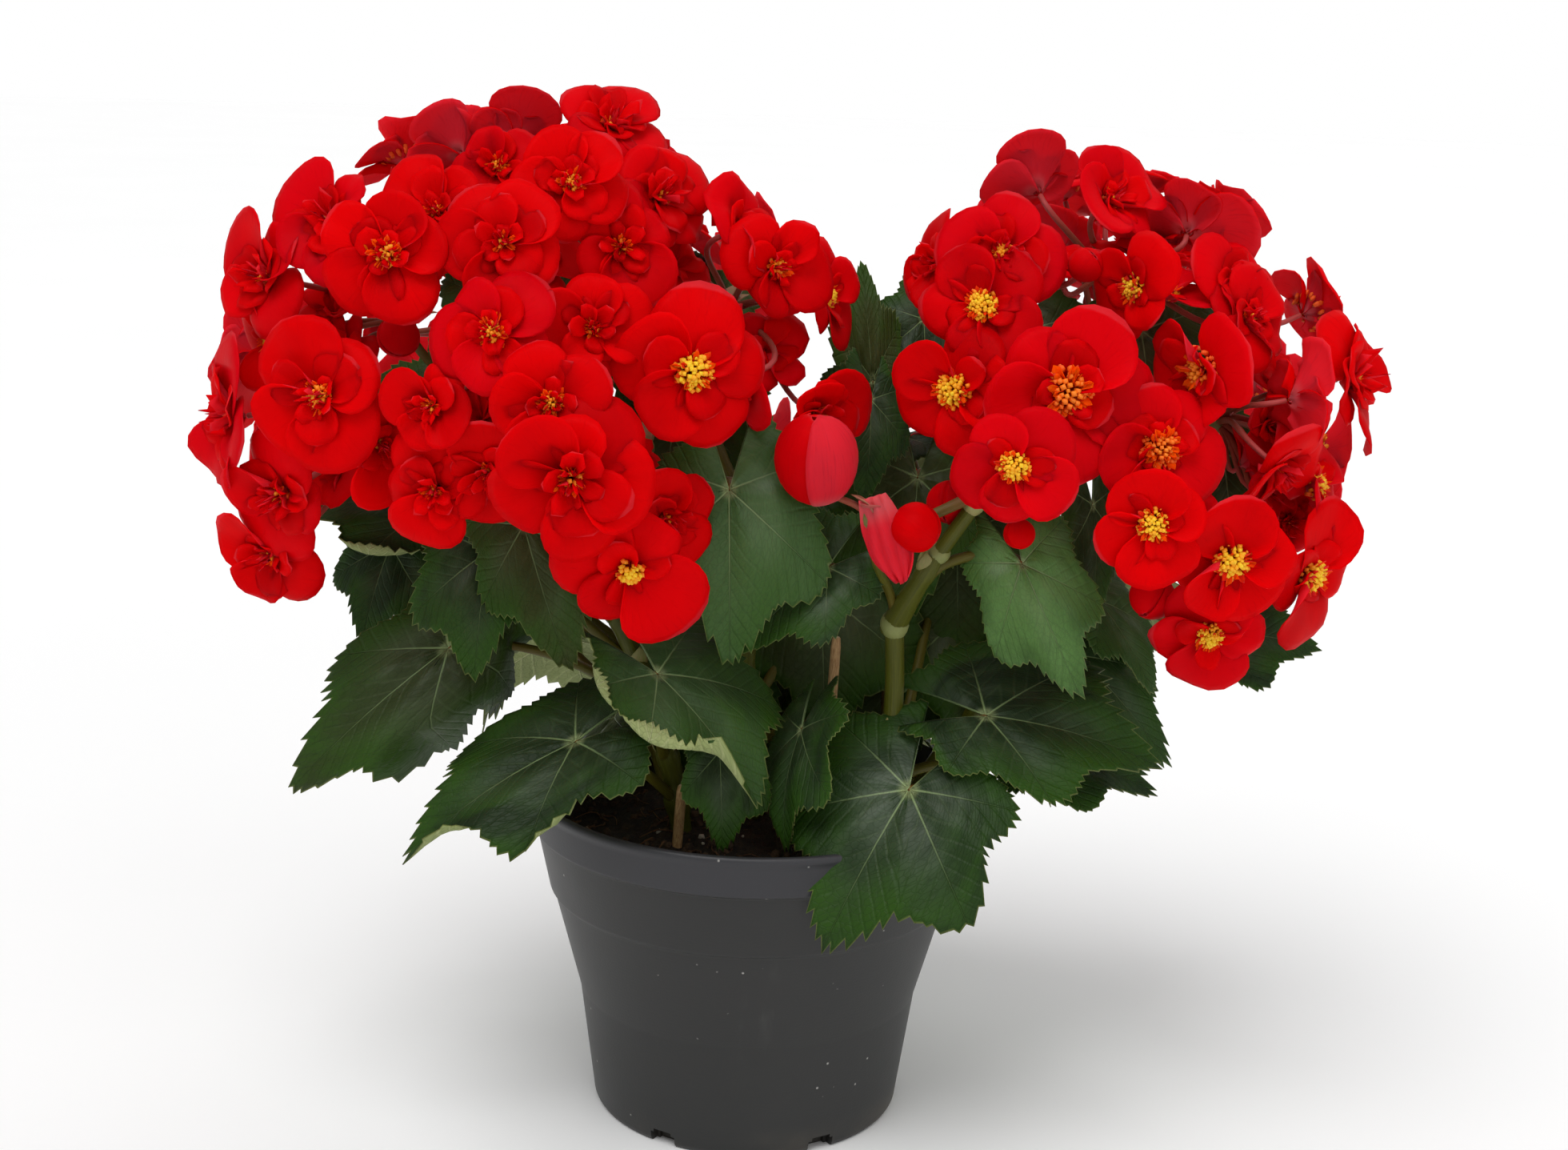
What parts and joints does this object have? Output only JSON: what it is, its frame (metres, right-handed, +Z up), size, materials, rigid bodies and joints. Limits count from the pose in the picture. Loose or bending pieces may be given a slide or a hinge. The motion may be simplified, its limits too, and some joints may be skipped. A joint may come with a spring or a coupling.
{
  "type": "potted begonia",
  "caption": "Flowering begonia with two rounded domes of red blooms above toothed dark green leaves, growing in a flared plastic pot with a plain rim band.",
  "frame": {"origin": "centre of the pot's foot, on the surface it stands on", "axes": "+Z up along the pot's axis, -Y towards the front of the picture, +X to the right as seen from the front"},
  "size_m": [0.3623, 0.2326, 0.3337],
  "materials": {
    "pot": "dark grey moulded plastic, satin",
    "soil": "moist dark peat soil, matt",
    "stick": "bare light wood",
    "leaf": "waxy dark green leaf, paler stalks and stems",
    "petal": "soft vivid red petal, paler stalks"
  },
  "bodies": {
    "root": {"pot": "pot", "soil": "soil", "stick_left": "stick", "stick_right": "stick", "leafy_stem_front_left": "leaf", "leafy_stem_centre": "leaf", "leafy_stem_front_right": "leaf", "leafy_stem_right": "leaf", "leafy_stem_back_left": "leaf", "leafy_stem_back_right": "leaf", "flowers_left_top": "petal", "flowers_left_upper_right": "petal", "flowers_left_side": "petal", "flowers_left_front": "petal", "flowers_left_lower_right": "petal", "flowers_left_low_side": "petal", "flowers_middle_buds": "petal", "flowers_right_lower_left": "petal", "flowers_right_upper_left": "petal", "flowers_right_front": "petal", "flowers_right_top": "petal", "flowers_right_side": "petal", "flowers_left_back": "petal", "flowers_right_back": "petal"}
  },
  "joints": []
}
